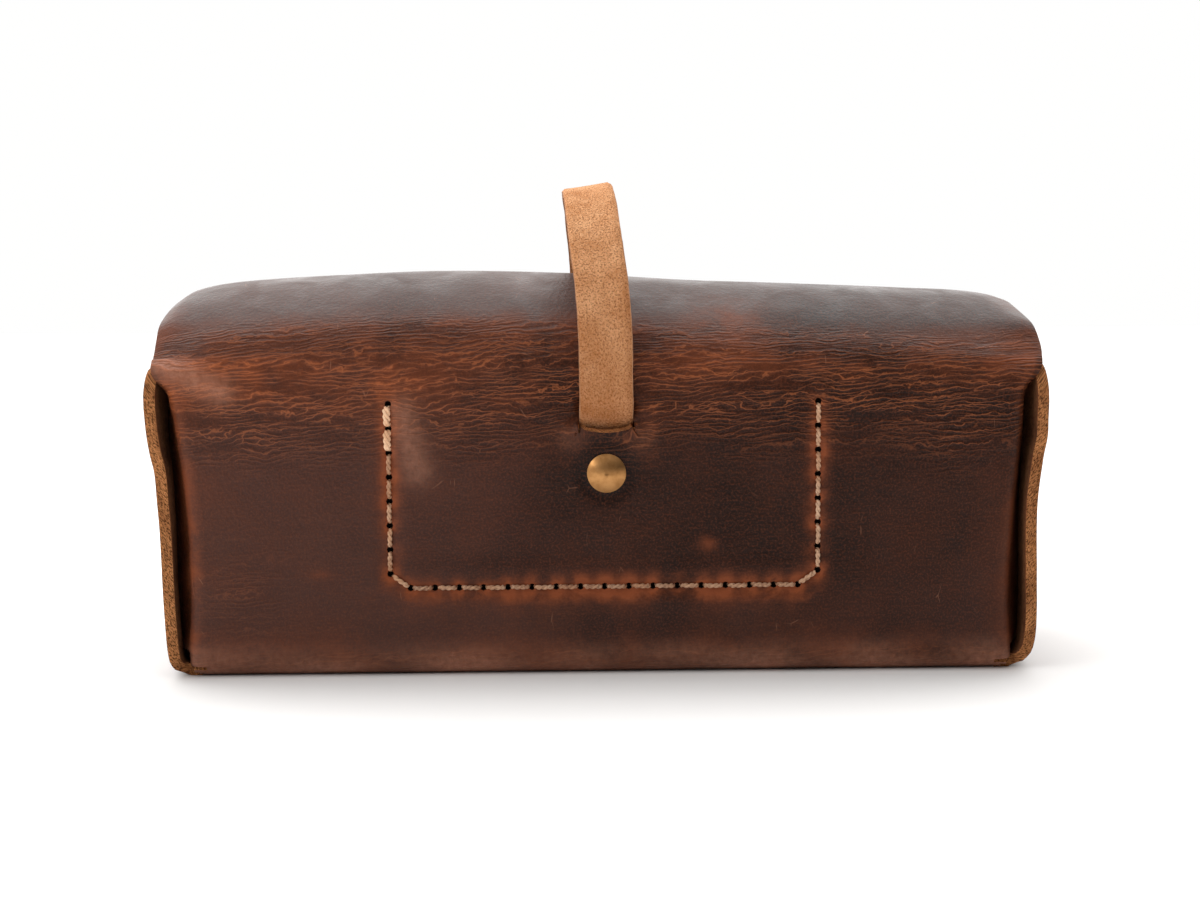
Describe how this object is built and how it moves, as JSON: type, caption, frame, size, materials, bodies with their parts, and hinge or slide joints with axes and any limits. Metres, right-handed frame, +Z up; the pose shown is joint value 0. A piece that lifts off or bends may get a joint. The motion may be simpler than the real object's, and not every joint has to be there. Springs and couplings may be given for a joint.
{
  "type": "leather ever ready case",
  "caption": "Long folded leather camera case with a hinged crowned lid, an inner pocket and a riveted strap that arches over the lid to a magnetic button.",
  "frame": {"origin": "on the surface the case rests on, under the middle of the whole object's box", "axes": "+X along the length, +Z up, -Y out of the back panel with the strap's slot, +Y out of the front with the button"},
  "size_m": [0.1874, 0.076, 0.1041],
  "materials": {
    "case_leather": "oiled pull-up hide, dark brown with lighter creases",
    "strap_leather": "flesh side out, tan suede nap",
    "pocket_leather": "thin oiled hide",
    "waxed_thread": "waxed linen, beige",
    "antique_brass": "aged, satin",
    "nickel_plate": "nickel plated magnet, satin"
  },
  "bodies": {
    "case": {"case_shell": "case_leather", "inner_pocket": "pocket_leather", "pocket_thread": "waxed_thread", "end_thread_left_back": "waxed_thread", "end_thread_left_front": "waxed_thread", "end_thread_right_back": "waxed_thread", "end_thread_right_front": "waxed_thread", "strap_root": "strap_leather", "strap_rivet_cap": "antique_brass", "strap_rivet_base": "antique_brass", "panel_button": "antique_brass", "panel_button_magnet": "nickel_plate", "panel_button_washer": "antique_brass"},
    "lid": {"lid_flap": "case_leather", "strap_arch": "strap_leather"},
    "strap_tip": {"strap_end": "strap_leather", "tip_button": "antique_brass", "tip_button_magnet": "nickel_plate", "tip_cap": "antique_brass"}
  },
  "joints": [
    {"name": "lid_hinge", "type": "hinge", "parent": "case", "child": "lid", "pos_m": [0, -0.03535, 0.06625], "axis": [1, 0, 0], "range_deg": [0, 105]},
    {"name": "tip_hinge", "type": "hinge", "parent": "lid", "child": "strap_tip", "pos_m": [0.0015, 0.03385, 0.066], "axis": [1, 0, 0], "range_deg": [0, 100]}
  ]
}
